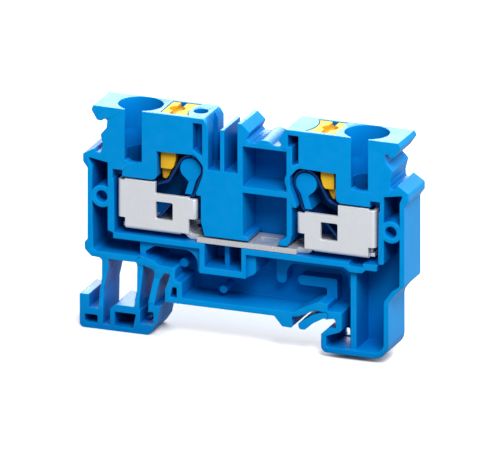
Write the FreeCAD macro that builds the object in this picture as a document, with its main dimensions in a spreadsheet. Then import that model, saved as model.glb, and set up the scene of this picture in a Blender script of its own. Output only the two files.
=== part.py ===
"""Parametric feed-through terminal block for a 35 mm top-hat rail, in millimetres.

X runs along the length of the block, across the rail. Y runs along the rail, with the open face of the
housing at -Y. Z is up. The origin is on the seat of the rail, midway between the rail's two edges and
midway through the thickness of the block.

The two wire clamps are mirror images of each other. Their outlines are written once, with the distance
u from the mirror plane in place of X.
"""

import FreeCAD, Part

import collections
import math
import os

import Sketcher

DIMENSIONS = {
    # whole block
    "block_thickness": 8.2,
    "block_top": 35.75,
    "mirror_plane": 0.35,
    "back_web": 1.2,
    "front_setback": 0.15,
    # rail
    "rail_width": 35.15,
    "rail_flange": 1.0,
    "finger_pivot_x": 15.45,
    "finger_pivot_z": 1.2,
    "finger_knuckle": 0.6,
    "finger_play": 0.06,
    # wire entries
    "entry_offset": 21.8,
    "entry_depth": 4.0,
    "entry_radius": 4.15,
    "entry_radius_across": 3.85,
    "wire_radius": 2.6,
    "entry_slot": 3.3,
    "entry_floor": 22.95,
    "cone_top": 30.0,
    "cone_bottom": 27.0,
    "slot_floor": 25.9,
    # release buttons; they have a mirror plane of their own
    "button_plane": 0.2,
    "button_front": 0.95,
    "button_back": 7.55,
    "button_inner": 11.25,
    "button_hollow": 12.2,
    "button_outer": 16.8,
    "button_gap": 0.08,
    "button_height": 35.65,
    "button_head": 2.05,
    "stem_inner": 13.97,
    "stem_back": 6.9,
    "toe_setback": 0.9,
    "driver_slot_depth": 0.8,
    "button_well": 30.6,
    "chamber_top": 28.5,
    # test hole and keying between neighbours
    "test_offset": 10.25,
    "test_depth": 4.1,
    "test_radius": 1.34,
    "test_hole_length": 6.2,
    "key_offset": 27.85,
    "key_height": 18.65,
    "key_radius": 1.1,
    "key_play": 0.05,
    "key_socket_depth": 2.5,
    "key_reach": 1.2,
    "key_ring": 2.1,
    # springs
    "loop_offset": 11.12,
    "loop_height": 25.54,
    "loop_radius": 2.4,
    "leg_angle": 28.7,
    "spring_sheet": 0.5,
    "spring_front": 1.25,
    "spring_width": 5.4,
    "post_radius": 2.04,
    "post_setback": 1.1,
    # clamp cages and current bar
    "cage_sheet": 0.8,
    "cage_front": 0.15,
    "cage_width": 6.7,
    "cage_outer": 24.85,
    "cage_tongue": 9.65,
    "cage_floor": 13.0,
    "cage_back_lip": 14.2,
    "cage_bend": 0.75,
    "bar_floor": 12.05,
    "bar_sheet": 1.1,
    "bar_half": 9.6,
    "bar_width": 6.6,
    "neck_width": 4.0,
    # foot: the gap that keeps the bending legs apart from the pieces that they join
    "leg_seam": 0.02,
    # shallow shapes inside the housing
    "ledge_depth": 0.8,
    "notch_depth": 2.3,
    "raised_web": 4.5,
}

doc = FreeCAD.newDocument("TerminalBlock")
sheet = doc.addObject("Spreadsheet::Sheet", "Dimensions")


def fill_sheet():
    for row, (alias, value) in enumerate(DIMENSIONS.items(), start=1):
        sheet.set("A%d" % row, alias)
        sheet.set("B%d" % row, str(value))
        sheet.setAlias("B%d" % row, alias)
    doc.recompute()


def size(alias):
    return float(sheet.get(alias))


# ---------------------------------------------------------------------------------------------------
# outlines


def vector(x, z):
    return FreeCAD.Vector(x, z, 0)


def around(x, z, radius, degrees):
    """A point on a circle, at an angle from the first axis."""
    return (x + radius * math.cos(math.radians(degrees)), z + radius * math.sin(math.radians(degrees)))


Through = collections.namedtuple("Through", "x z")


def rounded(points):
    """Lines and arcs through the corners (x, z) or (x, z, radius) of a closed outline.

    A Through point between two corners makes that side an arc.
    """
    corners, middles = [], {}
    for point in points:
        if isinstance(point, Through):
            middles[len(corners) - 1] = vector(point.x, point.z)
        else:
            corners.append(point)
    count = len(corners)
    starts, ends, fillets = [], [], []
    for i, corner in enumerate(corners):
        here = vector(corner[0], corner[1])
        radius = corner[2] if len(corner) > 2 else 0
        start, end, fillet = here, here, None
        if radius:
            before = corners[i - 1]
            after = corners[(i + 1) % count]
            to_before = (vector(before[0], before[1]) - here).normalize()
            to_after = (vector(after[0], after[1]) - here).normalize()
            half = to_before.getAngle(to_after) / 2
            bisector = (to_before + to_after).normalize()
            start = here + to_before * (radius / math.tan(half))
            end = here + to_after * (radius / math.tan(half))
            fillet = Part.Arc(start, here + bisector * (radius / math.sin(half) - radius), end)
        starts.append(start)
        ends.append(end)
        fillets.append(fillet)
    edges = []
    for i in range(count):
        if fillets[i]:
            edges.append(fillets[i])
        following = starts[(i + 1) % count]
        if i in middles:
            edges.append(Part.Arc(ends[i], middles[i], following))
        elif (following - ends[i]).Length > 1e-6:
            edges.append(Part.LineSegment(ends[i], following))
    return edges


def mirrored(points, side, plane="mirror_plane"):
    """An outline in (u, z), placed on the right (side 1) or the left (side -1) of a mirror plane."""
    middle = size(plane)
    placed = []
    for point in points:
        if isinstance(point, Through):
            placed.append(Through(middle + side * point.x, point.z))
        else:
            placed.append((middle + side * point[0],) + tuple(point[1:]))
    return placed


def strip(line, thickness):
    """The closed outline of a bent sheet whose middle follows the corners of line."""
    left, right = [], []
    last = len(line) - 1
    for i, corner in enumerate(line):
        here = vector(corner[0], corner[1])
        directions = []
        if i > 0:
            directions.append((here - vector(line[i - 1][0], line[i - 1][1])).normalize())
        if i < last:
            directions.append((vector(line[i + 1][0], line[i + 1][1]) - here).normalize())
        along = directions[0] if len(directions) == 1 else (directions[0] + directions[1]).normalize()
        normal = FreeCAD.Vector(-along.y, along.x, 0)
        reach = thickness / 2 / math.cos(along.getAngle(directions[0]))
        radius = corner[2] if len(corner) > 2 else 0
        turn = 0
        if len(directions) == 2:
            turn = directions[0].cross(directions[1]).z
        inner = max(radius - thickness / 2, 0.05) if radius else 0
        outer = radius + thickness / 2 if radius else 0
        left_point = here + normal * reach
        right_point = here - normal * reach
        left.append((left_point.x, left_point.y, inner if turn > 0 else outer))
        right.append((right_point.x, right_point.y, outer if turn > 0 else inner))
    return left + right[::-1]


# ---------------------------------------------------------------------------------------------------
# features


def new_body(name):
    body = doc.addObject("PartDesign::Body", name)
    body.Label = name
    return body


def origin_plane(body, role):
    return next(feature for feature in body.Origin.OriginFeatures if feature.Role == role)


def sketch_on(body, name, role, offset):
    """A sketch parallel to one of the body's own origin planes; offset is an expression."""
    sketch = body.newObject("Sketcher::SketchObject", name)
    sketch.AttachmentSupport = (origin_plane(body, role), [""])
    sketch.MapMode = "FlatFace"
    sketch.setExpression("AttachmentOffset.Base.z", offset)
    return sketch


def front_sketch(body, name, depth, edges):
    """A sketch parallel to the open face, depth behind it."""
    sketch = sketch_on(body, name, "XZ_Plane", "Dimensions.block_thickness / 2 - (%s)" % depth)
    sketch.addGeometry(edges, False)
    return sketch


def add_front(body, name, edges, depth, length):
    """Material from depth + length behind the open face forward to depth."""
    sketch = front_sketch(body, name + "_outline", "(%s) + (%s)" % (depth, length), edges)
    pad = body.newObject("PartDesign::Pad", name)
    pad.Profile = sketch
    pad.setExpression("Length", length)
    return pad


def cut_front(body, name, edges, depth, length):
    """A pocket that starts depth behind the open face and goes length further back."""
    sketch = front_sketch(body, name + "_outline", depth, edges)
    pocket = body.newObject("PartDesign::Pocket", name)
    pocket.Profile = sketch
    pocket.setExpression("Length", length)
    return pocket


def cut_down(body, name, edges, top, length):
    """A vertical pocket from the height top downwards."""
    sketch = sketch_on(body, name + "_outline", "XY_Plane", top)
    sketch.addGeometry(edges, False)
    pocket = body.newObject("PartDesign::Pocket", name)
    pocket.Profile = sketch
    pocket.setExpression("Length", length)
    return pocket


def circle(x, y, radius):
    return [Part.Circle(vector(x, y), FreeCAD.Vector(0, 0, 1), radius)]


def box(left, right, low, high, radius=0):
    return rounded([(left, low, radius), (right, low, radius), (right, high, radius), (left, high, radius)])


def side_box(side, near, far, low, high, radius=0, plane="mirror_plane"):
    """A box that reaches from u = near to u = far on one side of a mirror plane."""
    ends = sorted(size(plane) + side * u for u in (near, far))
    return box(*ends, low, high, radius)


def bind_circle(sketch, x, y, radius, geometry=0):
    """Ties one circle of a sketch to the sheet."""
    centre = (-1, 1, geometry, 3)
    for kind, value in (("DistanceX", x), ("DistanceY", y)):
        index = sketch.addConstraint(Sketcher.Constraint(kind, *centre, 1.0))
        sketch.setExpression("Constraints[%d]" % index, value)
    index = sketch.addConstraint(Sketcher.Constraint("Radius", geometry, 1.0))
    sketch.setExpression("Constraints[%d]" % index, radius)


# ---------------------------------------------------------------------------------------------------
# housing

CAVITY = "Dimensions.block_thickness - Dimensions.back_web"

# Profile of the marker groove and the outer wall at the left and right ends, from the top downwards.
LEFT_END = [
    (-29.2, 35.75, 0.3), (-29.5, 34.9, 0.4), (-28.4, 33.1, 0.4), (-27.6, 33.0, 0.3), (-26.9, 33.5, 0.3),
    (-26.45, 33.2, 0.2), (-26.6, 31.8, 0.5), (-27.75, 30.4, 0.6), (-27.3, 28.5, 0.4), (-27.7, 26.9, 0.3),
    (-28.45, 27.0, 0.2), (-28.9, 27.6, 0.2), (-31.1, 26.4, 0.4), (-31.1, 24.9, 0.3), (-30.25, 23.75, 0.3),
]
RIGHT_END = [
    (29.7, 35.75, 0.3), (30.15, 34.9, 0.4), (28.8, 32.9, 0.4), (27.9, 32.8, 0.2), (27.7, 33.4, 0.2),
    (27.0, 33.3, 0.2), (27.35, 31.6, 0.5), (28.55, 30.4, 0.6), (28.0, 28.2, 0.4), (28.1, 27.0, 0.3),
    (28.95, 26.9, 0.2), (29.4, 27.8, 0.2), (31.7, 26.3, 0.4), (31.7, 24.9, 0.3), (30.85, 23.7, 0.3),
]


def housing_outline():
    """Side profile of the moulding, clockwise from the top left corner, without the sprung foot."""
    top = size("block_top")
    rail_edge = size("rail_width") / 2 + 0.05
    flange = -size("rail_flange")
    shafts = [
        (-7.9, top), (-7.05, top - 1.4), (-7.05, 31.1), (-4.7, 31.1), (-4.7, 34.1, 0.15),
        (-3.9, 34.1, 0.15), (-3.9, 31.1), (-1.35, 31.1), (-1.35, top), (-0.55, top, 0.3),
    ]
    marker_groove = [
        (1.05, 34.3, 0.2), (0.75, 33.5, 0.2), (0.4, 33.0, 0.2), (1.0, 32.4, 0.4), (2.2, 32.4, 0.6),
        (3.9, 33.9, 2.2), (5.6, 32.4, 0.6), (6.8, 32.4, 0.3), (7.2, 32.75, 0.2), (6.6, 33.3, 0.2),
        (6.85, 34.1, 0.3), (7.9, top, 0.2),
    ]
    right_wall = [
        (30.85, 8.6, 1.0), (29.1, 7.0, 2.5), (27.8, 5.2, 2.0), (27.8, -5.75, 3.0), (14.75, -5.75, 1.2),
        (14.75, -2.3, 0.4), (16.1, -1.15, 0.6), (16.9, flange), (rail_edge, flange), (rail_edge, 0.3, 0.3),
        (17.2, 0.8, 0.3),
    ]
    # The rail finger turns in a round socket, open to the front and the back.
    socket = finger_socket()
    tooth = [
        (13.6, 2.0, 0.8), (10.4, 0.45, 0.8), (9.1, 0.2, 0.2), (9.3, -1.85, 0.4), (7.3, -1.85, 0.5),
        (5.7, 0.0, 0.3),
    ]
    foot_roots = [
        (-15.3, 0.0), (-15.3, 2.3, 0.8), (-14.25, 5.4, 0.3), (-15.4, 5.5, 0.4), (-15.77, 4.9),
        (-17.3, 4.9), (-17.4, 5.8, 0.7), (-19.4, 6.4, 0.4), (-19.5, 6.2), (-20.7, 6.2),
        (-20.8, 6.85, 0.4), (-26.2, 6.85, 0.2), (-26.25, 6.5), (-27.5, 6.5), (-27.9, 6.95, 0.6),
        (-29.5, 7.0, 0.8), (-30.8, 8.3, 0.8), (-30.8, 9.6, 0.5), (-30.25, 10.2, 0.5),
    ]
    upper = [LEFT_END[0]] + shafts + marker_groove + RIGHT_END
    return upper + right_wall + socket + tooth + foot_roots + LEFT_END[:0:-1]


def finger_socket():
    """The concave root of the rail finger's socket, from below to above."""
    pivot = (size("finger_pivot_x"), size("finger_pivot_z"))
    radius = size("finger_knuckle") + size("finger_play")
    return [around(*pivot, radius, -75), Through(*around(*pivot, radius, 15)), around(*pivot, radius, 105)]


def key_arc(side, wall, far_wall, above):
    """The part of a keying ring that stands between the two walls of a side well, wall first."""
    x = size("mirror_plane") + side * size("key_offset")
    z = size("key_height")
    r = size("key_ring")
    up = 1 if above else -1
    first = (wall, z + up * math.sqrt(r * r - (wall - x) ** 2))
    last = (far_wall, z + up * math.sqrt(r * r - (far_wall - x) ** 2))
    return [first, Through(x, z + up * r), last]


def side_wells():
    """The narrow wells behind the end walls, above and below the keying rings."""
    left_upper = [(-30.1, 25.8, 0.2), (-26.35, 25.2, 0.2)]
    left_upper += key_arc(-1, -26.35, -29.3, True) + [(-29.3, 24.2, 0.2)]
    left_lower = key_arc(-1, -29.3, -26.35, False) + [
        (-26.35, 12.3, 0.2), (-25.3, 12.0, 0.2), (-25.3, 10.95, 0.1), (-20.4, 10.95, 0.1), (-20.4, 8.1, 0.1),
        (-29.1, 8.1, 0.9),
    ]
    right_upper = [(30.5, 25.85, 0.2), (26.85, 25.2, 0.2)]
    right_upper += key_arc(1, 26.85, 29.9, True) + [(29.9, 24.4, 0.2)]
    right_lower = key_arc(1, 26.85, 29.9, False) + [
        (29.85, 8.4, 0.9), (28.4, 7.4, 1.5), (26.85, 5.2, 1.5), (26.8, -4.7, 2.0), (21.3, -4.7),
        (21.3, 10.12), (22.6, 10.15, 0.6), (23.4, 10.85, 0.4), (25.5, 10.85, 0.3), (25.8, 12.2, 0.2),
        (26.85, 12.3, 0.3),
    ]
    return [left_upper, left_lower, right_upper, right_lower]


def chamber_side(side):
    """One end of the clamp bay, from the bay's floor up over the cage, the button and the spring's loop."""
    top = size("chamber_top")
    ceiling = size("entry_floor")
    cage_bay = [(25.4, 12.1), (25.55, 22.45, 0.1), (23.85, 22.45), (23.85, ceiling, 0.1)]
    shaft = [(17.25, ceiling, 1.0), (17.25, top)]
    loop = [(9.9, top + 0.15, 1.6), (8.35, 26.8, 1.2), (8.4, 25.0, 2.0), (9.65, 21.6), (9.65, 21.05)]
    return mirrored(cage_bay + shaft + loop, side)


def clamp_bay():
    """One hollow holds both clamps, the bar that joins them, and the box and compartment next to the bar."""
    floor = size("bar_floor") - 0.05
    plate_bottom = 13.55
    left = chamber_side(-1) + [(-8.4, 21.05, 0.1), (-8.4, 16.2), (-7.7, plate_bottom, 0.2)]
    compartment = [
        (0.75, plate_bottom), (0.75, 14.4), (-0.35, 14.4), (-0.35, 22.7, 0.1), (8.15, 22.7, 0.1),
        (8.15, 15.3, 0.6), (6.5, 14.2, 0.3), (6.4, plate_bottom), (8.2, plate_bottom), (8.75, 14.3, 0.6),
        (9.15, 16.0), (9.1, 21.05, 0.1),
    ]
    right = chamber_side(1)[::-1]
    sump = [(22.8, 12.0), (22.8, 11.3, 0.2), (20.2, 11.3, 0.2), (20.2, floor)]
    box_under_bar = [(-0.6, floor), (-0.6, 7.6, 0.1), (-7.7, 7.6, 0.1), (-7.7, floor)]
    return left + compartment + right + sump + box_under_bar


def rail_hollow():
    """The wide hollow over the rail; a wall splits it from the well behind the right end wall."""
    past_rail = size("rail_width") / 2 + 1.15
    return [
        (-19.3, 8.1, 0.2), (-19.3, 9.0, 0.3), (-17.6, 10.15, 1.0), (-9.3, 10.15, 2.6), (-9.3, 6.35),
        (0.25, 6.35), (1.9, 7.2, 1.0), (1.9, 10.9), (19.0, 10.9, 0.2), (20.15, 10.2, 0.2), (20.15, -4.7),
        (15.75, -4.7, 0.2), (15.75, -2.6, 0.3), (18.3, -1.65, 0.3), (past_rail, -1.2), (past_rail, 2.15, 0.2),
        (16.0, 2.15), (16.0, 3.4, 0.3), (14.4, 3.7, 0.8), (12.0, 2.6, 0.8), (9.3, 1.1, 1.0), (-12.1, 1.1),
        (-12.1, 4.1, 0.1), (-13.45, 4.3, 0.4), (-13.35, 6.7, 0.5), (-16.6, 6.9, 0.6), (-17.6, 7.6, 0.5),
    ]


def small_wells():
    """The compartment over the centre, the two shafts beside it, and the moulding reliefs."""
    above = size("block_top") + 4
    compartment = [
        (-0.35, 31.5, 0.1), (8.1, 31.5, 0.1), (8.1, 27.2, 0.3), (7.75, 26.4, 0.8), (7.75, 25.6, 0.8),
        (8.1, 24.6, 0.3), (8.1, 23.85), (-0.35, 23.85),
    ]
    relief = [
        (8.35, 34.75, 0.1), (10.4, 34.75, 0.1), (10.4, 29.6, 0.1), (9.2, 29.1, 0.1), (9.2, 32.6, 0.1),
        (8.35, 32.6, 0.1),
    ]
    first_shaft = [(-7.05, 26.2, 0.1), (-4.7, 26.2, 0.1), (-4.7, above), (-7.05, above)]
    second_shaft = [(-3.9, 26.2, 0.1), (-1.35, 26.2, 0.1), (-1.35, above), (-3.9, above)]
    column = [(-14.3, 1.1, 0.1), (-13.05, 1.1, 0.1), (-13.05, 3.0, 0.3), (-13.9, 3.0, 0.3)]
    return [compartment, relief, first_shaft, second_shaft, column]


def front_cavities(body):
    """Every hollow that runs from the open face to the back web."""
    outlines = side_wells() + [clamp_bay(), rail_hollow()] + small_wells()
    edges = [edge for outline in outlines for edge in rounded(outline)]
    cut_front(body, "front_cavities", edges, "0", CAVITY)


def shallow_recesses(body):
    """Ledges and notches just behind the open face, and the relief in front of the test hole."""
    ledges = [
        [(-20.45, 8.1), (-20.45, 10.95), (-8.7, 10.95), (-8.7, 6.35), (-9.5, 6.35), (-9.5, 8.1)],
        [(0.25, 6.35), (0.25, 10.9), (2.0, 10.9), (2.0, 7.2), (1.2, 6.35)],
        [(20.0, -4.7), (20.0, 10.11), (21.4, 10.12), (21.4, -4.7)],
    ]
    ledge_edges = [edge for ledge in ledges for edge in rounded(ledge)]
    cut_front(body, "ledges", ledge_edges, "0", "Dimensions.ledge_depth")
    notch = [(23.85, 22.3), (25.75, 22.3), (25.75, 24.1, 0.2), (23.85, 24.1, 0.2)]
    notches = rounded(mirrored(notch, -1)) + rounded(mirrored(notch, 1))
    cut_front(body, "cage_notches", notches, "0", "Dimensions.notch_depth")
    relief = [
        (-9.95, 34.75, 0.1), (-8.15, 34.75, 0.1), (-8.15, 28.7, 0.1), (-8.6, 28.9, 0.2), (-9.95, 29.7, 0.1),
    ]
    cut_front(body, "test_hole_relief", rounded(relief), "0", "2.4")
    groove = box(-7.75, -7.0, 26.2, size("block_top") + 4)
    cut_front(body, "shaft_groove", groove, "2.7", "2.6")
    cut_front(body, "web_slit", box(16.7, 17.7, -4.5, -3.1, 0.3), CAVITY, "Dimensions.back_web + 0.5")


def spring_post(side):
    """The round post inside a spring's loop, with the rib that backs the fixed leg, as one outline."""
    x = size("loop_offset")
    z = size("loop_height")
    r = size("post_radius")
    disc = [around(x, z, r, 200), Through(*around(x, z, r, 90)), around(x, z, r, -45)]
    rib = [(11.5, 23.1, 0.3), (12.25, 20.7), (10.9, 20.7), (10.05, 23.5, 1.0)]
    return mirrored(disc + rib, side)


def raised_features(body):
    """Posts, ribs, pads and pegs that stand on the back web."""
    reach = "Dimensions.block_thickness - Dimensions.back_web + 0.2"
    posts = rounded(spring_post(-1)) + rounded(spring_post(1))
    add_front(body, "spring_posts", posts, "Dimensions.post_setback", reach + " - Dimensions.post_setback")
    add_front(body, "under_bar_rib", box(-4.6, -3.7, 7.4, 11.6), "2.2", reach + " - 2.2")
    arch = [
        (4.4, 11.2), (20.3, 11.2), (20.3, 5.6), (18.4, 5.6), (18.4, 8.75, 2.0), (7.3, 8.75, 1.4),
        (6.5, 7.2, 1.0), (6.4, 4.8, 0.9), (4.5, 4.8, 0.9),
    ]
    angle = [
        (8.6, 6.8, 0.9), (16.2, 6.8, 0.4), (16.2, 2.8, 0.3), (14.15, 2.8), (14.15, 4.9, 0.4), (8.6, 4.9, 0.9),
    ]
    add_front(
        body, "web_pads", rounded(arch) + rounded(angle), "Dimensions.raised_web",
        reach + " - Dimensions.raised_web",
    )
    pegs = circle(-12.75, 6.85, 0.85) + circle(-5.2, 2.7, 0.75)
    add_front(body, "web_pegs", pegs, "3.0", reach + " - 3.0")


def entry_centre(side):
    x = size("mirror_plane") + side * size("entry_offset")
    return (x, size("entry_depth") - size("block_thickness") / 2)


def wire_entries(body):
    """Round mouths that narrow to the wire bores, each with a slot that opens it to the front."""
    wide = size("entry_radius")
    across = size("entry_radius_across")
    wire = size("wire_radius")
    centres = [entry_centre(side) for side in (-1, 1)]
    mouths = [Part.Ellipse(vector(*centre), wide, across) for centre in centres]
    cut_down(
        body, "entry_mouths", mouths, "Dimensions.block_top", "Dimensions.block_top - Dimensions.cone_top",
    )
    for name, centre in (("left", centres[0]), ("right", centres[1])):
        upper = sketch_on(body, name + "_cone_top", "XY_Plane", "Dimensions.cone_top")
        upper.addGeometry([Part.Ellipse(vector(*centre), wide, across)], False)
        lower = sketch_on(body, name + "_cone_bottom", "XY_Plane", "Dimensions.cone_bottom")
        lower.addGeometry([Part.Ellipse(vector(*centre), wire + 0.2, wire + 0.12)], False)
        cone = body.newObject("PartDesign::SubtractiveLoft", name + "_cone")
        cone.Profile = upper
        cone.Sections = [lower]
    bores = circle(*centres[0], wire) + circle(*centres[1], wire)
    bore = cut_down(
        body, "wire_bores", bores, "Dimensions.cone_bottom",
        "Dimensions.cone_bottom - Dimensions.entry_floor + 0.5",
    )
    bind_entry_circles(bore.Profile[0])
    half = size("entry_slot") / 2
    low = size("slot_floor")
    high = size("block_top") + 1
    slots = []
    for x, _ in centres:
        round_end = [(x - half, low + 0.2), Through(x, low - 0.2), (x + half, low + 0.2)]
        slots += rounded(round_end + [(x + half, high), (x - half, high)])
    cut_front(body, "entry_slots", slots, "0", "Dimensions.entry_depth")


def bind_entry_circles(sketch):
    across = "Dimensions.entry_depth - Dimensions.block_thickness / 2"
    for index, sign in ((0, "-"), (1, "+")):
        place = "Dimensions.mirror_plane %s Dimensions.entry_offset" % sign
        bind_circle(sketch, place, across, "Dimensions.wire_radius", index)


def button_plan(side, gap):
    """The button head seen from above; its inner side is hollowed around the test hole."""
    front = size("button_front") - size("block_thickness") / 2 + gap
    back = size("button_back") - size("block_thickness") / 2 - gap
    inner = size("button_inner") + gap
    outer = size("button_outer") - gap
    hollow = Through(size("button_hollow") + gap, (front + back) / 2)
    plan = [(inner, front), (outer, front), (outer, back), (inner, back), hollow]
    return rounded(mirrored(plan, side, "button_plane"))


def button_wells(body):
    """The two windows for the buttons' heads and the narrower passages for their stems."""
    heads = button_plan(-1, 0.0) + button_plan(1, 0.0)
    cut_down(
        body, "button_wells", heads, "Dimensions.block_top", "Dimensions.block_top - Dimensions.button_well",
    )
    front = size("button_front") - size("block_thickness") / 2
    back = size("stem_back") - size("block_thickness") / 2 + size("button_gap")
    stems = []
    for side in (-1, 1):
        outer = size("button_plane") + side * size("button_outer")
        inner = size("mirror_plane") + side * (size("stem_inner") - 2 * size("button_gap"))
        stems += box(*sorted((outer, inner)), front, back)
    depth = "Dimensions.button_well - Dimensions.chamber_top + 0.3"
    cut_down(body, "stem_passages", stems, "Dimensions.button_well + 0.1", depth)


def test_hole(body):
    x = size("mirror_plane") - size("test_offset")
    y = size("test_depth") - size("block_thickness") / 2
    hole = cut_down(body, "test_hole", circle(x, y, 1), "Dimensions.block_top", "Dimensions.test_hole_length")
    bind_circle(
        hole.Profile[0], "Dimensions.mirror_plane - Dimensions.test_offset",
        "Dimensions.test_depth - Dimensions.block_thickness / 2", "Dimensions.test_radius",
    )


def keying(body):
    """A socket in each keying ring, and a peg on the back behind it."""
    places = [size("mirror_plane") + side * size("key_offset") for side in (-1, 1)]
    z = size("key_height")
    ends = [("-", 0), ("+", 1)]
    sockets = circle(places[0], z, 1.0) + circle(places[1], z, 1.0)
    pegs = circle(places[0], z, 1.0) + circle(places[1], z, 1.0)
    socket = cut_front(body, "key_sockets", sockets, "0", "Dimensions.key_socket_depth")
    peg = add_front(body, "key_pegs", pegs, "Dimensions.block_thickness - 0.5", "Dimensions.key_reach + 0.5")
    peg_radius = "Dimensions.key_radius - Dimensions.key_play"
    for feature, radius in ((socket, "Dimensions.key_radius"), (peg, peg_radius)):
        for sign, index in ends:
            place = "Dimensions.mirror_plane %s Dimensions.key_offset" % sign
            bind_circle(feature.Profile[0], place, "Dimensions.key_height", radius, index)


def make_housing():
    body = new_body("housing")
    add_front(body, "moulding", rounded(housing_outline()), "0", "Dimensions.block_thickness")
    keying(body)
    wire_entries(body)
    button_wells(body)
    test_hole(body)
    front_cavities(body)
    shallow_recesses(body)
    raised_features(body)
    return body


# ---------------------------------------------------------------------------------------------------
# foot and rail finger


def make_rail_foot():
    """The sprung foot: a block with a hook that goes under the rail's left flange."""
    body = new_body("rail_foot")
    flange = -size("rail_flange")
    outline = [
        (-31.75, -6.7, 0.9), (-31.75, -0.3, 0.3), (-29.9, -0.3, 0.2), (-29.9, -2.85, 0.1),
        (-28.15, -2.85), (-27.2, -2.85), (-27.25, -5.7, 0.1), (-25.9, -5.7, 0.1), (-25.9, -2.6, 0.5),
        (-24.9, -1.65, 0.5), (-21.25, -1.65), (-20.25, -1.65), (-20.2, -2.4, 0.3), (-18.5, -2.4, 0.5),
        (-18.5, flange), (-17.4, flange), (-16.3, flange, 0.1), (-17.0, -4.6, 1.0), (-18.4, -6.7, 1.5),
    ]
    add_front(body, "foot_block", rounded(outline), "0", "Dimensions.block_thickness")
    pry_window = box(-30.75, -28.3, -5.65, -4.1, 0.3)
    foot_window = rounded([(-25.0, -5.8, 0.1), (-21.5, -5.8, 0.1), (-20.9, -3.05, 0.2), (-25.0, -3.05, 0.1)])
    heel_well = rounded([(-20.1, -4.75, 0.1), (-17.6, -4.75, 0.1), (-17.5, -2.3, 0.2), (-20.1, -2.3)])
    cut_front(body, "foot_windows", pry_window + foot_window + heel_well, "0", CAVITY)
    add_front(body, "heel_key", box(-20.0, -19.0, -5.2, -4.3), "3.0", "4.2")
    return body


def make_foot_leg(name, outline):
    body = new_body(name)
    add_front(body, name + "_sheet", rounded(outline), "0", "Dimensions.block_thickness")
    return body


def foot_legs():
    """The three thin legs that tie the foot to the housing and bend when it is drawn back."""
    gap = size("leg_seam")
    flange = -size("rail_flange")
    outer = [
        (-27.45, 6.5 - gap), (-26.25, 6.5 - gap), (-26.35, 4.6, 3.0), (-27.1, 1.2, 3.0), (-27.2, -2.85 + gap),
        (-28.15, -2.85 + gap), (-27.95, 0.1, 4.0), (-27.45, 3.2, 3.0),
    ]
    middle = [
        (-20.65, 6.2 - gap), (-19.5, 6.2 - gap), (-19.75, 3.4, 4.0), (-20.2, 0.1, 4.0), (-20.25, -1.65 + gap),
        (-21.25, -1.65 + gap), (-21.05, 0.1, 3.0), (-20.7, 1.5, 3.0),
    ]
    inner = [
        (-17.3, 4.9 - gap), (-15.8, 4.9 - gap), (-16.35, 3.9, 0.6), (-17.4, -0.7, 1.0), (-17.4, flange + gap),
        (-18.5, flange + gap), (-18.55, -0.5, 1.0),
    ]
    return [
        make_foot_leg("outer_foot_leg", outer),
        make_foot_leg("middle_foot_leg", middle),
        make_foot_leg("inner_foot_leg", inner),
    ]


def make_rail_finger():
    """The springy finger that presses on the rail's right flange; it turns on a round knuckle."""
    body = new_body("rail_finger")
    pivot = (size("finger_pivot_x"), size("finger_pivot_z"))
    r = size("finger_knuckle")
    knuckle = [around(*pivot, r, -110), Through(*around(*pivot, r, 0)), around(*pivot, r, 110)]
    blade = [
        (14.4, 1.55), (13.0, 1.0, 1.5), (10.3, -0.9, 0.5), (10.5, -1.95, 0.5), (11.6, -1.95, 0.6),
        (13.3, -0.45, 1.5),
    ]
    add_front(body, "finger_blade", rounded(knuckle + blade), "0", "Dimensions.block_thickness")
    return body


# ---------------------------------------------------------------------------------------------------
# metal parts


def make_current_bar():
    """A flat bar between the clamps; narrow necks step up into the cages."""
    body = new_body("current_bar")
    middle = size("mirror_plane")
    half = size("bar_half")
    low = size("bar_floor")
    high = low + size("bar_sheet")
    add_front(
        body, "bar_middle", box(middle - half, middle + half, low, high), "Dimensions.front_setback",
        "Dimensions.bar_width",
    )
    lift = size("cage_floor") + size("cage_sheet") + 0.05 - low
    centre = low + size("bar_sheet") / 2
    line = [(half - 0.5, centre), (11.4, centre, 0.8), (12.6, centre + lift, 0.8), (23.9, centre + lift)]
    for name, side in (("left_neck", -1), ("right_neck", 1)):
        neck = rounded(mirrored(strip(line, size("bar_sheet")), side))
        add_front(body, name, neck, "1.5", "Dimensions.neck_width")
    cut_down(body, "jumper_hole", box(1.7, 5.0, -2.3, 0.4), "Dimensions.bar_floor + 2", "4")
    return body


def edges_at(shape, **places):
    """The names of the straight edges with both ends at the given x, y or z."""
    names = []
    for index, edge in enumerate(shape.Edges, start=1):
        ends = [vertex.Point for vertex in edge.Vertexes]
        if all(abs(getattr(end, axis) - value) < 1e-4 for end in ends for axis, value in places.items()):
            names.append("Edge%d" % index)
    return names


def round_bends(body, name, places):
    """Gives the outside of the sheet its bend radius along the edges at the given places."""
    doc.recompute()
    last = body.Tip
    names = [edge for place in places for edge in edges_at(last.Shape, **place)]
    fillet = body.newObject("PartDesign::Fillet", name)
    fillet.Base = (last, names)
    fillet.setExpression("Radius", "Dimensions.cage_bend")


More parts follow.
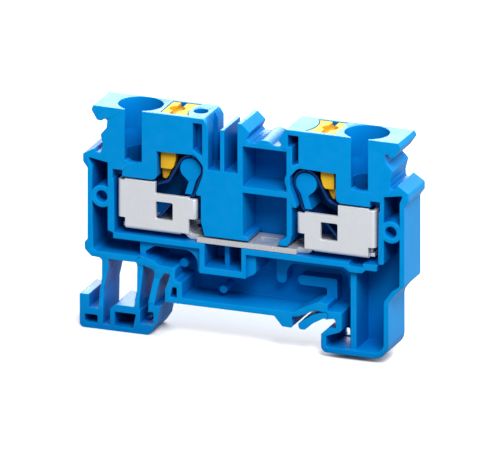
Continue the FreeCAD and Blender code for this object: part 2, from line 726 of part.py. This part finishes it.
def make_cage(name, side):
    """A clamp cage folded from sheet: a front plate with a tongue, a floor, an outer wall and a back lip."""
    body = new_body(name)
    sheet_thickness = size("cage_sheet")
    floor = size("cage_floor")
    outer = size("cage_outer")
    tongue = size("cage_tongue")
    shoulder = floor + 0.4
    width = "Dimensions.cage_width"
    inside = "Dimensions.cage_front + Dimensions.cage_sheet"
    clear = "Dimensions.cage_width - 2 * Dimensions.cage_sheet"
    plate = [
        (outer, 15.15), (outer, 22.25), (23.5, 22.25), (23.5, 22.55), (17.6, 22.55), (17.6, 20.35, 0.1),
        (11.1, 20.35), (11.1, 20.1), (tongue, 20.1), (tongue, 16.3), (11.15, 16.3), (11.15, shoulder),
        (23.4, shoulder), (23.4, 15.15),
    ]
    add_front(body, name + "_plates", rounded(mirrored(plate, side)), "Dimensions.cage_front", width)
    fold = side_box(side, 12.9, 24.2, floor, floor + sheet_thickness)
    add_front(body, name + "_fold", fold, "Dimensions.cage_front", width)
    hollow = side_box(side, 5.0, outer - sheet_thickness, floor + sheet_thickness, 40)
    cut_front(body, name + "_hollow", hollow, inside, clear)
    throat = side_box(side, 5.0, 12.9, 5, 20)
    cut_front(body, name + "_throat", throat, inside, clear)
    above_lip = side_box(side, 5.0, outer + 1, size("cage_back_lip"), 40)
    cut_front(body, name + "_back", above_lip, inside + " + (%s)" % clear, "2")
    curl = side_box(side, tongue, tongue + sheet_thickness, 16.3, 20.1)
    add_front(body, name + "_curl", curl, "Dimensions.cage_front", "1.0")
    front = size("cage_front") - size("block_thickness") / 2
    middle = size("mirror_plane")
    round_bends(body, name + "_bends", [
        {"y": front, "z": floor},
        {"y": front, "x": middle + side * outer},
        {"y": front, "x": middle + side * tongue},
    ])
    corner = side_box(side, 23.4, 25.0, 12.0, floor + sheet_thickness + 0.1)
    cut_front(body, name + "_corner", corner, "0", "1.6")
    window = side_box(side, 14.25, 17.5, 15.55, 18.9, 0.3)
    cut_front(body, name + "_window", window, "0", inside + " + 0.2")
    return body


def loop_arc(radius, side, start, end):
    """An arc about the middle of a spring's loop, between two angles in degrees."""
    centre = (size("loop_offset"), size("loop_height"))
    places = [around(*centre, radius, angle) for angle in (start, (start + end) / 2, end)]
    return Part.Arc(*(vector(*place) for place in mirrored(places, side)))


def make_spring(name, side):
    """The fixed part of a clamp spring: its loop around the post and the leg that rests on the bar."""
    body = new_body(name)
    centre = (size("loop_offset"), size("loop_height"))
    r = size("loop_radius")
    half = size("spring_sheet") / 2
    leave = size("leg_angle") + 3
    arrive = 197
    inner = loop_arc(r - half, side, leave, arrive)
    outer = loop_arc(r + half, side, arrive, leave)
    loop = [
        inner, Part.LineSegment(inner.EndPoint, outer.StartPoint),
        outer, Part.LineSegment(outer.EndPoint, inner.StartPoint),
    ]
    add_front(body, name + "_loop", loop, "Dimensions.spring_front", "Dimensions.spring_width")
    line = [
        around(*centre, r, arrive), (9.62, 23.4, 4.0), (10.45, 20.6, 1.0), (14.8, 18.7, 1.2), (17.5, 15.45),
    ]
    leg = rounded(mirrored(strip(line, size("spring_sheet")), side))
    add_front(body, name + "_fixed_leg", leg, "Dimensions.spring_front", "Dimensions.spring_width")
    return body


def make_clamping_leg(name, side):
    """The free leg of a clamp spring, tangent to the loop, bent towards the wire."""
    body = new_body(name)
    start = around(size("loop_offset"), size("loop_height"), size("loop_radius"), size("leg_angle"))
    line = [start, (15.43, 22.65, 1.5), (22.6, 20.2)]
    leg = rounded(mirrored(strip(line, size("spring_sheet")), side))
    add_front(body, name + "_blade", leg, "Dimensions.spring_front", "Dimensions.spring_width")
    return body


def make_button(name, side):
    """A release button: a broad head flush with the block's top, a stem, and a set-back toe on the spring."""
    body = new_body(name)
    gap = size("button_gap")
    outer = size("button_outer") - gap
    inner = size("button_inner") + gap
    stem = size("stem_inner")
    top = size("button_height")
    shoulder = top - size("button_head")
    head = [(inner, top, 0.1), (outer, top, 0.1), (outer, shoulder), (inner, shoulder, 0.1)]
    # The inner sides of the stem and the toe keep clear of the spring, so they share its mirror plane.
    upper_stem = mirrored([(outer, shoulder + 0.5), (outer, 25.05, 0.15)], side, "button_plane")
    upper_stem += mirrored(
        [(14.8, 25.05, 0.3), (14.4, 25.5, 0.3), (stem, 27.0, 1.0), (stem, shoulder + 0.5)], side,
    )
    toe = mirrored([(outer, 27.5), (outer, 24.5), (16.6, 23.2), (16.5, 22.9, 0.15)], side, "button_plane")
    toe += mirrored([(16.05, 22.9, 0.15), (15.6, 23.5, 0.5), (14.9, 25.0), (14.9, 27.5)], side)
    start = "Dimensions.button_front + Dimensions.button_gap"
    add_front(
        body, name + "_head", rounded(mirrored(head, side, "button_plane")), start,
        "Dimensions.button_back - Dimensions.button_front - 2 * Dimensions.button_gap",
    )
    stem_width = "Dimensions.stem_back - Dimensions.button_front - Dimensions.button_gap"
    add_front(body, name + "_stem", rounded(upper_stem), start, stem_width)
    add_front(
        body, name + "_toe", rounded(toe), start + " + Dimensions.toe_setback",
        stem_width + " - Dimensions.toe_setback",
    )
    front = size("button_front") - size("block_thickness") / 2
    back = size("button_back") - size("block_thickness") / 2
    hollow = Through(size("button_hollow") + gap, (front + back) / 2)
    scallop = [
        (10.0, front - 0.2), (inner - 0.1, front - 0.2), hollow, (inner - 0.1, back + 0.2), (10.0, back + 0.2),
    ]
    scallop_edges = rounded(mirrored(scallop, side, "button_plane"))
    cut_down(body, name + "_scallop", scallop_edges, "Dimensions.block_top + 1", "4")
    groove = [(14.05, top + 1), (14.05, top - 0.5), (14.25, top - 0.75), (15.1, top - 0.75), (15.3, top + 1)]
    groove_edges = rounded(mirrored(groove, side, "button_plane"))
    cut_front(body, name + "_groove", groove_edges, "0", "Dimensions.block_thickness")
    slot = side_box(side, 13.3, 16.15, -0.95, 1.35, 1.05, plane="button_plane")
    cut_down(
        body, name + "_driver_slot", slot, "Dimensions.button_height + 1", "Dimensions.driver_slot_depth + 1",
    )
    return body


# ---------------------------------------------------------------------------------------------------
# build


def build():
    fill_sheet()
    bodies = [make_housing(), make_rail_foot()]
    bodies += foot_legs()
    bodies.append(make_rail_finger())
    bodies.append(make_current_bar())
    for name, side in (("left", -1), ("right", 1)):
        bodies.append(make_cage(name + "_clamp_cage", side))
        bodies.append(make_spring(name + "_clamp_spring", side))
        bodies.append(make_clamping_leg(name + "_clamping_leg", side))
        bodies.append(make_button(name + "_release_button", side))
    doc.recompute()
    return bodies


def check(bodies):
    for item in doc.Objects:
        if "Invalid" in item.State or "Error" in item.State:
            raise RuntimeError("%s did not compute: %s" % (item.Label, item.State))
    for body in bodies:
        if body.Shape.isNull() or not body.Shape.isValid():
            raise RuntimeError("%s has no valid shape" % body.Label)
        if len(body.Shape.Solids) != 1:
            raise RuntimeError("%s is %d solids" % (body.Label, len(body.Shape.Solids)))


def export(bodies):
    os.makedirs("parts", exist_ok=True)
    for body in bodies:
        body.Shape.exportStep("parts/%s.step" % body.Label)


parts = build()
check(parts)
export(parts)
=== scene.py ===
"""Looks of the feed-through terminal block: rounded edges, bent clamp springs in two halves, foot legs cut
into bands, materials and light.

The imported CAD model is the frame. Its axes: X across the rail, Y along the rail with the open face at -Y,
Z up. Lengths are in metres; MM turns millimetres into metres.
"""

import math

import bmesh
import bpy
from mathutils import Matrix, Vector


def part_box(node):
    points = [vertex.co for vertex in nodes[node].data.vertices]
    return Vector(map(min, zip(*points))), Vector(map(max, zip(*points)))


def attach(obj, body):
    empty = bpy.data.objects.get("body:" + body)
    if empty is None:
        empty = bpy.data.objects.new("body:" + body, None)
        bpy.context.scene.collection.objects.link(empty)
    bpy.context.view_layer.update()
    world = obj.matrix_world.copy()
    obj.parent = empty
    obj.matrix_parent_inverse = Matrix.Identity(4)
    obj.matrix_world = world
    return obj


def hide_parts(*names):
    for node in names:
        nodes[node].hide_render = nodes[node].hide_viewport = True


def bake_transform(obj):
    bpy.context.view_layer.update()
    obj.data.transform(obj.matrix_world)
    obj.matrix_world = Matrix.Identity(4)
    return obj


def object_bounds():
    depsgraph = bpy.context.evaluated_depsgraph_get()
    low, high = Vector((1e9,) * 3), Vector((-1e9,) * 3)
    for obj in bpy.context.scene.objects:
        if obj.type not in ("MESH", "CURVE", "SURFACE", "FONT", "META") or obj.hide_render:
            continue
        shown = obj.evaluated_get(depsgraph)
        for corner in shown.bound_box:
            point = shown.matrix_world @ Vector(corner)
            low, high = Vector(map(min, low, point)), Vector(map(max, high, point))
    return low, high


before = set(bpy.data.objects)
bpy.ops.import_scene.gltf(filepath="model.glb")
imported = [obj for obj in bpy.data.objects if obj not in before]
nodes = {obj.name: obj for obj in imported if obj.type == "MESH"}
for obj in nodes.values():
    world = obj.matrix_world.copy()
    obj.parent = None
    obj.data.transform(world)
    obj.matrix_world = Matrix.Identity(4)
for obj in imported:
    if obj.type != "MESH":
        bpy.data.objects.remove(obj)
CAD_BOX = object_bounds()

MM = 0.001


# ---------------------------------------------------------------------------------------------------
# node graphs


class Graph:
    """A material's node tree, with short calls for the nodes used here."""

    def __init__(self, name):
        self.material = bpy.data.materials.new(name)
        self.material.use_nodes = True
        self.tree = self.material.node_tree
        self.tree.nodes.clear()
        self.output = self.tree.nodes.new("ShaderNodeOutputMaterial")

    def node(self, kind, **settings):
        made = self.tree.nodes.new("ShaderNode" + kind)
        inputs = settings.pop("inputs", {})
        for key, value in settings.items():
            setattr(made, key, value)
        for key, value in inputs.items():
            self.feed(made.inputs[key], value)
        return made

    def feed(self, socket, value):
        if isinstance(value, bpy.types.NodeSocket):
            self.tree.links.new(value, socket)
        else:
            socket.default_value = value

    def place(self):
        """Object coordinates."""
        return self.node("TexCoord").outputs["Object"]

    def stretched(self, scale):
        """Object coordinates, scaled per axis."""
        mapping = self.node("Mapping", inputs={"Vector": self.place(), "Scale": scale})
        return mapping.outputs["Vector"]

    def noise(self, size, detail=2.0, roughness=0.5, vector=None):
        """Noise whose features are about size metres wide; its value averages 0.5."""
        texture = self.node("TexNoise", inputs={
            "Vector": vector or self.place(), "Scale": 1 / size, "Detail": detail, "Roughness": roughness,
        })
        return texture.outputs["Fac"]

    def ramp(self, value, low, high, to_low, to_high):
        """The value, with low to high stretched to to_low to to_high and held there outside."""
        node = self.node("MapRange", inputs={
            "Value": value, "From Min": low, "From Max": high, "To Min": to_low, "To Max": to_high,
        })
        return node.outputs["Result"]

    def math(self, operation, first, second):
        node = self.node("Math", operation=operation)
        self.feed(node.inputs[0], first)
        self.feed(node.inputs[1], second)
        return node.outputs["Value"]

    def mix(self, factor, first, second):
        node = self.node("Mix", data_type="RGBA")
        self.feed(node.inputs["Factor"], factor)
        self.feed(node.inputs[6], first)
        self.feed(node.inputs[7], second)
        return node.outputs[2]

    def bump(self, height, distance, strength=1.0, normal=None):
        node = self.node("Bump", inputs={"Height": height, "Distance": distance, "Strength": strength})
        if normal is not None:
            self.feed(node.inputs["Normal"], normal)
        return node.outputs["Normal"]

    def edges(self, radius):
        """1 on sharp edges and 0 on flat faces."""
        rounded = self.node("Bevel", samples=4, inputs={"Radius": radius}).outputs["Normal"]
        flat = self.node("NewGeometry").outputs["Normal"]
        cosine = self.node("VectorMath", operation="DOT_PRODUCT")
        self.feed(cosine.inputs[0], rounded)
        self.feed(cosine.inputs[1], flat)
        return self.ramp(cosine.outputs["Value"], 0.98, 0.75, 0.0, 1.0)

    def openness(self, reach):
        """1 on open faces and 0 far inside narrow hollows; it masks the shade painted into hollows."""
        return self.node("AmbientOcclusion", samples=6, inputs={"Distance": reach}).outputs["AO"]

    def finish(self, **inputs):
        """Links one shader with these inputs to the output and returns the material."""
        shader = self.node("BsdfPrincipled")
        for key, value in inputs.items():
            self.feed(shader.inputs[key.replace("_", " ")], value)
        self.tree.links.new(shader.outputs["BSDF"], self.output.inputs["Surface"])
        return self.material


def srgb(red, green, blue):
    """An 8-bit screen colour as the linear colour that a shader takes."""
    linear = []
    for channel in (red, green, blue):
        share = channel / 255
        linear.append(share / 12.92 if share <= 0.04045 else ((share + 0.055) / 1.055) ** 2.4)
    return (*linear, 1.0)


# ---------------------------------------------------------------------------------------------------
# materials

FLOW_SHADE = 0.93
# Width of the paler plastic edges: part wear, part painted highlight.
EDGE_WEAR_AND_HIGHLIGHT_WIDTH = 0.10 * MM
# Width of the near-white metal edges: part wear, part painted highlight.
METAL_EDGE_WEAR_AND_HIGHLIGHT_WIDTH = 0.08 * MM
# How far the ambient occlusion looks for walls when painting shade into hollows.
HOLLOW_REACH = 8 * MM


def moulded_plastic(name, colour, pale, painted_hollow_shade, tint, rough, gloss):
    """Injection-moulded polyamide: fine spark-eroded grain, faint flow lines and paler edges, partly wear and
    partly a painted highlight.

    Shade is painted into its hollows: where ambient occlusion finds them closed in, the colour goes to a
    darker hollow colour. The tint colours its reflections, and gloss is its refractive index.
    """
    graph = Graph(name)
    flow = graph.noise(9 * MM, detail=3.0, vector=graph.stretched((1.0, 1.0, 0.35)))
    cloud = graph.noise(2.2 * MM, detail=4.0)
    grain = graph.noise(0.09 * MM, detail=2.0, roughness=0.6)
    darker = (*(channel * FLOW_SHADE for channel in colour[:3]), 1.0)
    shade = graph.mix(graph.ramp(flow, 0.3, 0.7, 0.0, 1.0), colour, darker)
    shade = graph.mix(graph.ramp(cloud, 0.35, 0.75, 0.0, 0.08), shade, pale)
    # Paler edges: part wear, part painted highlight standing in for light caught on the rounded edges.
    edge_wear_and_highlight = graph.math("MULTIPLY", graph.edges(EDGE_WEAR_AND_HIGHLIGHT_WIDTH), graph.ramp(cloud, 0.35, 0.6, 0.25, 0.6))
    shade = graph.mix(edge_wear_and_highlight, shade, pale)
    # Painted shade: the colour goes darker in hollows, where the ambient occlusion is low.
    shade = graph.mix(graph.ramp(graph.openness(HOLLOW_REACH), 0.15, 1.0, 0.0, 1.0), painted_hollow_shade, shade)
    fine = graph.ramp(grain, 0.3, 0.7, rough - 0.05, rough + 0.05)
    coarse = graph.ramp(cloud, 0.3, 0.7, -0.04, 0.04)
    roughness = graph.math("ADD", fine, coarse)
    normal = graph.bump(grain, 0.004 * MM, 0.5)
    normal = graph.bump(flow, 0.05 * MM, 0.25, normal)
    return graph.finish(
        Base_Color=shade, Roughness=roughness, Normal=normal, Specular_Tint=tint, IOR=gloss,
    )


def bare_metal(name, colour, patch, grain_scale, rough, mirror):
    """Rolled sheet metal: fine lines along one direction, cloudy plating and near-white edges, partly wear
    and partly a painted highlight.

    The lines run along the axis with the small grain_scale. Satin plating scatters part of the light;
    mirror is the share that it reflects as metal.
    """
    graph = Graph(name)
    lines = graph.noise(0.35 * MM, detail=3.0, vector=graph.stretched(grain_scale))
    cloud = graph.noise(1.6 * MM, detail=5.0, roughness=0.6)
    shade = graph.mix(graph.ramp(cloud, 0.35, 0.7, 0.0, 0.5), colour, patch)
    shade = graph.mix(graph.ramp(lines, 0.3, 0.7, 0.0, 0.2), shade, patch)
    # Near-white edges: part wear, part painted highlight.
    edge_wear_and_highlight = graph.math("MULTIPLY", graph.edges(METAL_EDGE_WEAR_AND_HIGHLIGHT_WIDTH), 0.5)
    shade = graph.mix(edge_wear_and_highlight, shade, srgb(250, 250, 250))
    fine = graph.ramp(lines, 0.3, 0.7, rough - 0.06, rough + 0.06)
    coarse = graph.ramp(cloud, 0.3, 0.7, -0.05, 0.05)
    roughness = graph.math("ADD", fine, coarse)
    normal = graph.bump(lines, 0.004 * MM, 0.35)
    return graph.finish(Base_Color=shade, Metallic=mirror, Roughness=roughness, Normal=normal)


BLUE = moulded_plastic(
    "blue_moulding", colour=srgb(0, 142, 214), pale=srgb(60, 178, 236), painted_hollow_shade=srgb(0, 92, 172),
    tint=srgb(0, 150, 255), rough=0.42, gloss=1.45,
)
AMBER = moulded_plastic(
    "amber_moulding", colour=srgb(238, 188, 46), pale=srgb(255, 214, 90), painted_hollow_shade=srgb(165, 112, 28),
    tint=srgb(255, 200, 60), rough=0.5, gloss=1.2,
)
CAGE_STEEL = bare_metal(
    "tinned_steel", colour=srgb(234, 235, 238), patch=srgb(225, 226, 229),
    grain_scale=(1.0, 1.0, 0.12), rough=0.42, mirror=0.5,
)
TINNED_COPPER = bare_metal(
    "tinned_copper", colour=srgb(218, 219, 220), patch=srgb(206, 208, 210),
    grain_scale=(0.12, 1.0, 1.0), rough=0.3, mirror=0.6,
)
# Dark navy colour for the springs.
SPRING_STEEL = bare_metal(
    "dark_navy_spring_steel", colour=srgb(10, 62, 128), patch=srgb(6, 50, 108),
    grain_scale=(1.0, 0.12, 1.0), rough=0.35, mirror=0.7,
)

MATERIAL_OF_SLOT = {
    "blue_polyamide": BLUE,
    "amber_polyamide": AMBER,
    "cage_steel": CAGE_STEEL,
    "tinned_copper": TINNED_COPPER,
    "spring_steel": SPRING_STEEL,
}


# ---------------------------------------------------------------------------------------------------
# pieces


WELD_DISTANCE = 0.0001 * MM
SAME_FACE = math.radians(1)
SAME_PLANE = math.radians(0.5)
ROUNDED_TURN = math.radians(60)
LARGE_FACE_WEIGHT = 80


def large_faces_shade_flat(piece, weight=LARGE_FACE_WEIGHT):
    normals = piece.modifiers.new("normals", "WEIGHTED_NORMAL")
    normals.weight = weight
    normals.keep_sharp = False


def round_edges(piece, width, merge_flats):
    """Welds the CAD facets into clean faces and rounds every edge that turns by more than ROUNDED_TURN.

    merge_flats joins the triangles of each flat face again after the rounding.
    """
    merge = piece.modifiers.new("weld", "WELD")
    merge.merge_threshold = WELD_DISTANCE
    faces = piece.modifiers.new("faces", "DECIMATE")
    faces.decimate_type = "DISSOLVE"
    faces.angle_limit = SAME_FACE
    triangles = piece.modifiers.new("triangles", "TRIANGULATE")
    triangles.min_vertices = 4
    bevel = piece.modifiers.new("edges", "BEVEL")
    bevel.width = width
    bevel.segments = 2
    bevel.limit_method = "ANGLE"
    bevel.angle_limit = ROUNDED_TURN
    bevel.use_clamp_overlap = False
    bevel.loop_slide = False
    bevel.harden_normals = False
    if merge_flats:
        flats = piece.modifiers.new("flats", "DECIMATE")
        flats.decimate_type = "DISSOLVE"
        flats.angle_limit = SAME_PLANE
    large_faces_shade_flat(piece)


def dress(piece):
    """Gives a piece the finish of each of its material slots and smooth shading."""
    for slot in piece.material_slots:
        slot.material = MATERIAL_OF_SLOT[slot.material.name]
    custom = piece.data.attributes.get("custom_normal")
    if custom:
        piece.data.attributes.remove(custom)
    piece.data.shade_smooth()


EDGE_WIDTH = {
    "blue_polyamide": 0.08 * MM,
    "amber_polyamide": 0.10 * MM,
    "cage_steel": 0.10 * MM,
    "tinned_copper": 0.12 * MM,
    "spring_steel": 0.08 * MM,
}

for cad_node in nodes.values():
    edge_width = EDGE_WIDTH[cad_node.material_slots[0].material.name]
    dress(cad_node)
    # The housing's flat faces have too many notches to be merged without streaks.
    round_edges(cad_node, edge_width, merge_flats=cad_node is not nodes["housing"])


# ---------------------------------------------------------------------------------------------------
# foot legs cut into bands


LEG_BANDS = 16
LEG_ROOT = 0.12 * MM
CUT_TOLERANCE = 1e-7


def bending_leg(name):
    """Makes a foot leg that runs into the housing and the foot without a seam and is cut into bands between
    them.
    """
    rigid = nodes[name]
    bpy.context.view_layer.update()
    evaluated = rigid.evaluated_get(bpy.context.evaluated_depsgraph_get())
    mesh = bpy.data.meshes.new_from_object(evaluated)
    leg = bpy.data.objects.new(name + "_bending", mesh)
    bpy.context.scene.collection.objects.link(leg)
    low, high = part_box(name)
    for vertex in mesh.vertices:
        if vertex.co.z > high.z - LEG_ROOT:
            vertex.co.z += LEG_ROOT
        elif vertex.co.z < low.z + LEG_ROOT:
            vertex.co.z -= LEG_ROOT
    model = bmesh.new()
    model.from_mesh(mesh)
    for band in range(1, LEG_BANDS):
        height = low.z + (high.z - low.z) * band / LEG_BANDS
        parts = model.verts[:] + model.edges[:] + model.faces[:]
        bmesh.ops.bisect_plane(
            model, geom=parts, plane_co=(0, 0, height), plane_no=(0, 0, 1), dist=CUT_TOLERANCE,
        )
    model.to_mesh(mesh)
    model.free()
    mesh.shade_smooth()
    large_faces_shade_flat(leg)
    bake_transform(leg)
    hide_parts(name)


for leg_name in ("outer_foot_leg", "middle_foot_leg", "inner_foot_leg"):
    bending_leg(leg_name)


# ---------------------------------------------------------------------------------------------------
# clamp springs: one bent strip on each side. Distances are in millimetres from the mirror plane, u,
# from the open face, depth, and from the rail's seat, z.

MIRROR_PLANE = 0.35
HALF_THICKNESS = 4.1

LOOP_CENTRE = (11.12, 25.54)
LOOP_RADIUS = 2.4
LOOP_TOP = 90
LEG_ANGLE = 28.7
FIXED_LEG_ANGLE = 197
LOOP_STEP = 6
SWINGING_STEPS = 12

# Corners of the legs beyond the loop as (u, z, bend radius); each last point is the strip's end.
FIXED_LEG = [(9.62, 23.4, 4.0), (10.45, 20.6, 1.0), (14.8, 18.7, 1.2), (17.5, 15.45)]
CLAMPING_LEG = [(15.43, 22.65, 1.5), (22.6, 20.2)]

SPRING_FRONT = 1.25
SPRING_BACK = 6.65
SPRING_SHEET = 0.5
SHEET_CORNER = 0.09
GROUND_LENGTH = 0.35
GROUND_SHARE = 0.45
SPRING_WEIGHT = 60


def on_loop(degrees):
    a = math.radians(degrees)
    return (LOOP_CENTRE[0] + LOOP_RADIUS * math.cos(a), LOOP_CENTRE[1] + LOOP_RADIUS * math.sin(a))


def turned(arm, angle):
    cosine = math.cos(angle)
    sine = math.sin(angle)
    return Vector((arm.x * cosine - arm.y * sine, arm.x * sine + arm.y * cosine))


def bent_line(corners, step=0.25, arc_steps=10):
    """Points along straight pieces joined by arcs at the corners (u, z, radius)."""
    points = [Vector(corners[0][:2])]
    for before, corner, after in zip(corners, corners[1:], corners[2:]):
        here = Vector(corner[:2])
        back = (Vector(before[:2]) - here).normalized()
        on = (Vector(after[:2]) - here).normalized()
        half = back.angle(on) / 2
        reach = corner[2] / math.tan(half)
        start = here + back * reach
        end = here + on * reach
        centre = here + (back + on).normalized() * (corner[2] / math.sin(half))
        arm = start - centre
        turn = arm.angle_signed(end - centre)
        points.extend(centre + turned(arm, -turn * k / arc_steps) for k in range(arc_steps + 1))
    points.append(Vector(corners[-1][:2]))
    dense = [points[0]]
    for point in points[1:]:
        base = dense[-1].copy()
        gap = point - base
        pieces = max(1, math.ceil(gap.length / step))
        dense.extend(base + gap * (k / pieces) for k in range(1, pieces + 1))
    return dense


def strip_section(thin):
    """A rounded rectangle across the strip, as (offset along the normal, depth)."""
    half = SPRING_SHEET / 2 * thin
    r = SHEET_CORNER * thin
    corners = (
        (half - r, SPRING_BACK - r, 0), (-half + r, SPRING_BACK - r, 90),
        (-half + r, SPRING_FRONT + r, 180), (half - r, SPRING_FRONT + r, 270),
    )
    section = []
    for along, depth, first in corners:
        for turn in (0, 30, 60, 90):
            a = math.radians(first + turn)
            section.append((along + r * math.cos(a), depth + r * math.sin(a)))
    return section


def spring_strip(name, side, line, ground_tip):
    """Sweeps the strip's section along a line; a ground tip thins towards its end."""
    model = bmesh.new()
    rings = []
    for i, point in enumerate(line):
        ahead = line[min(i + 1, len(line) - 1)] - line[max(i - 1, 0)]
        normal = Vector((-ahead.y, ahead.x)).normalized()
        thin = 1.0
        if ground_tip:
            from_tip = (line[-1] - point).length
            thin = 1.0 - GROUND_SHARE * max(0.0, 1 - from_tip / GROUND_LENGTH)
        ring = []
        for offset, depth in strip_section(thin):
            u, z = point + normal * offset
            place = Vector((MIRROR_PLANE + side * u, depth - HALF_THICKNESS, z)) * MM
            ring.append(model.verts.new(place))
        rings.append(ring)
    for one, two in zip(rings, rings[1:]):
        for k in range(len(one)):
            following = (k + 1) % len(one)
            model.faces.new((one[k], one[following], two[following], two[k]))
    model.faces.new(rings[0])
    model.faces.new(rings[-1][::-1])
    bmesh.ops.recalc_face_normals(model, faces=model.faces[:])
    mesh = bpy.data.meshes.new(name)
    model.to_mesh(mesh)
    model.free()
    mesh.materials.append(SPRING_STEEL)
    mesh.shade_smooth()
    strip = bpy.data.objects.new(name, mesh)
    bpy.context.scene.collection.objects.link(strip)
    large_faces_shade_flat(strip, SPRING_WEIGHT)
    return strip


def clamp_spring(name, side):
    """Fixed half and swinging half of one spring, cut at the top of the loop."""
    rising = [Vector(on_loop(degrees)) for degrees in range(LOOP_TOP, FIXED_LEG_ANGLE + 1, LOOP_STEP)]
    fixed_line = rising + bent_line([on_loop(FIXED_LEG_ANGLE), *FIXED_LEG])[1:]
    fixed = spring_strip(name + "_fixed_half", side, fixed_line, ground_tip=False)
    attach(fixed, "terminal")
    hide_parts(name + "_clamp_spring")
    turn = (LOOP_TOP - LEG_ANGLE) / SWINGING_STEPS
    falling = [Vector(on_loop(LOOP_TOP - turn * k)) for k in range(SWINGING_STEPS + 1)]
    leg_line = falling + bent_line([on_loop(LEG_ANGLE), *CLAMPING_LEG])[1:]
    leg = spring_strip(name + "_swinging_half", side, leg_line, ground_tip=True)
    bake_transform(leg)
    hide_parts(name + "_clamping_leg")


clamp_spring("left", side=-1)
clamp_spring("right", side=1)


# ---------------------------------------------------------------------------------------------------
# studio

VIEW_AZIMUTH = 20.97
VIEW_ELEVATION = 19.2
VIEW_WIDTH = 89.96 * MM
VIEW_RIGHT = -0.63 * MM
VIEW_UP = 0.513 * MM
STUDIO_DISTANCE = 0.6
FLOOR_HALF_WIDTH = 4.0


def direction(azimuth, elevation):
    """The unit vector from the object towards a viewer or a light; azimuth 0 is in front, 90 on the right."""
    a = math.radians(azimuth)
    e = math.radians(elevation)
    return Vector((math.sin(a) * math.cos(e), -math.cos(a) * math.cos(e), math.sin(e)))


def make_camera(centre):
    data = bpy.data.cameras.new("camera")
    data.type = "ORTHO"
    data.ortho_scale = VIEW_WIDTH
    data.clip_start = 0.01
    data.clip_end = 10
    camera = bpy.data.objects.new("camera", data)
    bpy.context.scene.collection.objects.link(camera)
    towards = direction(VIEW_AZIMUTH, VIEW_ELEVATION)
    camera.rotation_mode = "QUATERNION"
    camera.rotation_quaternion = towards.to_track_quat("Z", "Y")
    right = camera.rotation_quaternion @ Vector((1, 0, 0))
    up = camera.rotation_quaternion @ Vector((0, 1, 0))
    camera.location = centre + towards * STUDIO_DISTANCE + right * VIEW_RIGHT + up * VIEW_UP
    bpy.context.scene.camera = camera


def softbox(name, centre, azimuth, elevation, width, height, watts):
    data = bpy.data.lights.new(name, "AREA")
    data.shape = "RECTANGLE"
    data.size = width
    data.size_y = height
    data.energy = watts
    light = bpy.data.objects.new(name, data)
    bpy.context.scene.collection.objects.link(light)
    towards = direction(azimuth, elevation)
    light.location = centre + towards * STUDIO_DISTANCE
    light.rotation_mode = "QUATERNION"
    light.rotation_quaternion = towards.to_track_quat("Z", "Y")


def make_floor(height):
    side = FLOOR_HALF_WIDTH
    mesh = bpy.data.meshes.new("floor")
    corners = [(-side, -side, height), (side, -side, height), (side, side, height), (-side, side, height)]
    mesh.from_pydata(corners, [], [(0, 1, 2, 3)])
    floor = bpy.data.objects.new("floor", mesh)
    bpy.context.scene.collection.objects.link(floor)
    graph = Graph("pale_floor")
    cloud = graph.noise(0.08, detail=3.0)
    shade = graph.mix(cloud, srgb(247, 247, 247), srgb(242, 243, 245))
    # The floor looks darker to the object than to the camera, which keeps hollows dark and gloss quiet.
    path = graph.node("LightPath")
    shade = graph.mix(path.outputs["Is Diffuse Ray"], shade, srgb(115, 122, 130))
    shade = graph.mix(path.outputs["Is Glossy Ray"], shade, srgb(160, 163, 166))
    mesh.materials.append(graph.finish(Base_Color=shade, Roughness=0.7, Specular_IOR_Level=0.2))


def make_world(strength):
    world = bpy.data.worlds.new("studio")
    world.use_nodes = True
    background = world.node_tree.nodes["Background"]
    background.inputs["Color"].default_value = (1, 1, 1, 1)
    background.inputs["Strength"].default_value = strength
    bpy.context.scene.world = world


low, high = CAD_BOX
middle = (low + high) / 2
make_camera(middle)
make_floor(low.z)
make_world(strength=0.45)
softbox("key", middle, azimuth=35, elevation=48, width=0.25, height=0.25, watts=4.2)
softbox("side", middle, azimuth=98, elevation=25, width=0.4, height=0.4, watts=1.6)
softbox("back", middle, azimuth=VIEW_AZIMUTH + 180, elevation=23, width=0.45, height=0.35, watts=3.8)
bpy.context.scene.view_settings.view_transform = "Standard"
